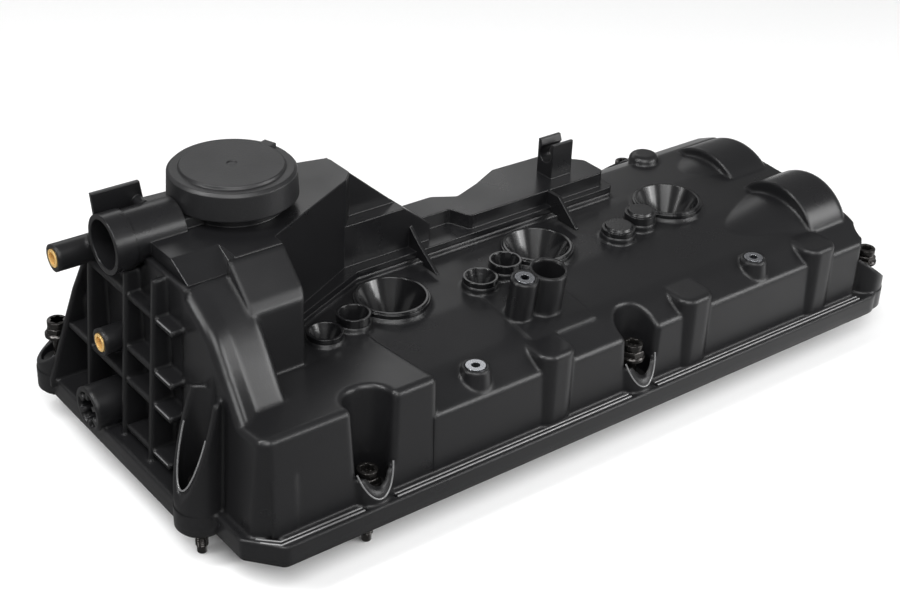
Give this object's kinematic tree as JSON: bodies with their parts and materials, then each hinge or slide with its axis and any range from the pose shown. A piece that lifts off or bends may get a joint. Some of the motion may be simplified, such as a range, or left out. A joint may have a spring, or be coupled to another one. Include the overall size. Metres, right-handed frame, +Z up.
{
  "type": "engine valve cover",
  "caption": "Moulded engine valve cover with a ribbed left end, raised oil separator tower, round pressure regulator cap, hose pipe, injector cones, flange gasket and captive bolts.",
  "frame": {"origin": "where the first injector's axis meets the gasket plane, the top face of the cylinder head", "axes": "+X along the row of injectors, away from the ribbed end; +Y towards the separator side; +Z up, out of the cylinder head"},
  "size_m": [0.4182, 0.1943, 0.1462],
  "materials": {
    "cover_plastic": "satin, fine moulded grain",
    "cap_plastic": "satin top, grained skirt",
    "plate_plastic": "satin",
    "plug_plastic": "smooth",
    "seal_rubber": "smooth, slightly shiny",
    "gasket_rubber": "matt",
    "grommet_rubber": "matt",
    "diaphragm_rubber": "matt",
    "spring_steel": "drawn wire",
    "insert_steel": "zinc plated",
    "insert_brass": "turned",
    "sleeve_steel": "zinc plated",
    "bolt_steel": "black oxide"
  },
  "bodies": {
    "cover": {"cover_shell": "cover_plastic", "separator_shell": "cover_plastic", "baffle_plate": "cover_plastic", "regulator_cap": "cap_plastic", "regulator_diaphragm": "diaphragm_rubber", "regulator_spring": "spring_steel", "perimeter_gasket": "gasket_rubber", "injector_seal_1": "seal_rubber", "injector_seal_2": "seal_rubber", "injector_seal_3": "seal_rubber", "small_seal_1a": "seal_rubber", "small_seal_1b": "seal_rubber", "small_seal_2a": "seal_rubber", "small_seal_2b": "seal_rubber", "blank_plug_a": "plug_plastic", "blank_plug_b": "plug_plastic", "steel_insert_1": "insert_steel", "steel_insert_2": "insert_steel", "steel_insert_3": "insert_steel", "brass_insert_mid": "insert_brass", "brass_insert_upper": "insert_brass", "sleeve_front_left": "sleeve_steel", "grommet_front_left": "grommet_rubber", "sleeve_front_block": "sleeve_steel", "grommet_front_block": "grommet_rubber", "sleeve_front_mid": "sleeve_steel", "grommet_front_mid": "grommet_rubber", "sleeve_front_right": "sleeve_steel", "grommet_front_right": "grommet_rubber", "sleeve_rear_left": "sleeve_steel", "grommet_rear_left": "grommet_rubber", "sleeve_rear_block": "sleeve_steel", "grommet_rear_block": "grommet_rubber", "sleeve_rear_mid": "sleeve_steel", "grommet_rear_mid": "grommet_rubber", "sleeve_rear_right": "sleeve_steel", "grommet_rear_right": "grommet_rubber"},
    "regulator_valve": {"regulator_plate": "plate_plastic"},
    "bolt_front_left": {"bolt_front_left": "bolt_steel"},
    "bolt_front_block": {"bolt_front_block": "bolt_steel"},
    "bolt_front_mid": {"bolt_front_mid": "bolt_steel"},
    "bolt_front_right": {"bolt_front_right": "bolt_steel"},
    "bolt_rear_left": {"bolt_rear_left": "bolt_steel"},
    "bolt_rear_block": {"bolt_rear_block": "bolt_steel"},
    "bolt_rear_mid": {"bolt_rear_mid": "bolt_steel"},
    "bolt_rear_right": {"bolt_rear_right": "bolt_steel"}
  },
  "joints": [
    {"name": "bolt_front_left_slide", "type": "slide", "parent": "cover", "child": "bolt_front_left", "axis": [0, 0, 1], "range_m": [0, 0.016]},
    {"name": "bolt_front_block_slide", "type": "slide", "parent": "cover", "child": "bolt_front_block", "axis": [0, 0, 1], "range_m": [0, 0.016]},
    {"name": "bolt_front_mid_slide", "type": "slide", "parent": "cover", "child": "bolt_front_mid", "axis": [0, 0, 1], "range_m": [-0.0097, 0.0063]},
    {"name": "bolt_front_right_slide", "type": "slide", "parent": "cover", "child": "bolt_front_right", "axis": [0, 0, 1], "range_m": [-0.0097, 0.0063]},
    {"name": "bolt_rear_left_slide", "type": "slide", "parent": "cover", "child": "bolt_rear_left", "axis": [0, 0, 1], "range_m": [-0.0127, 0.0033]},
    {"name": "bolt_rear_block_slide", "type": "slide", "parent": "cover", "child": "bolt_rear_block", "axis": [0, 0, 1], "range_m": [-0.0097, 0.0063]},
    {"name": "bolt_rear_mid_slide", "type": "slide", "parent": "cover", "child": "bolt_rear_mid", "axis": [0, 0, 1], "range_m": [-0.0097, 0.0063]},
    {"name": "bolt_rear_right_slide", "type": "slide", "parent": "cover", "child": "bolt_rear_right", "axis": [0, 0, 1], "range_m": [0, 0.016]},
    {"name": "regulator_valve_slide", "type": "slide", "parent": "cover", "child": "regulator_valve", "axis": [0, 0, 1], "range_m": [-0.004, 0.0015], "stiffness_N_per_m": 120, "deforming": ["regulator_spring", "regulator_diaphragm"]}
  ]
}
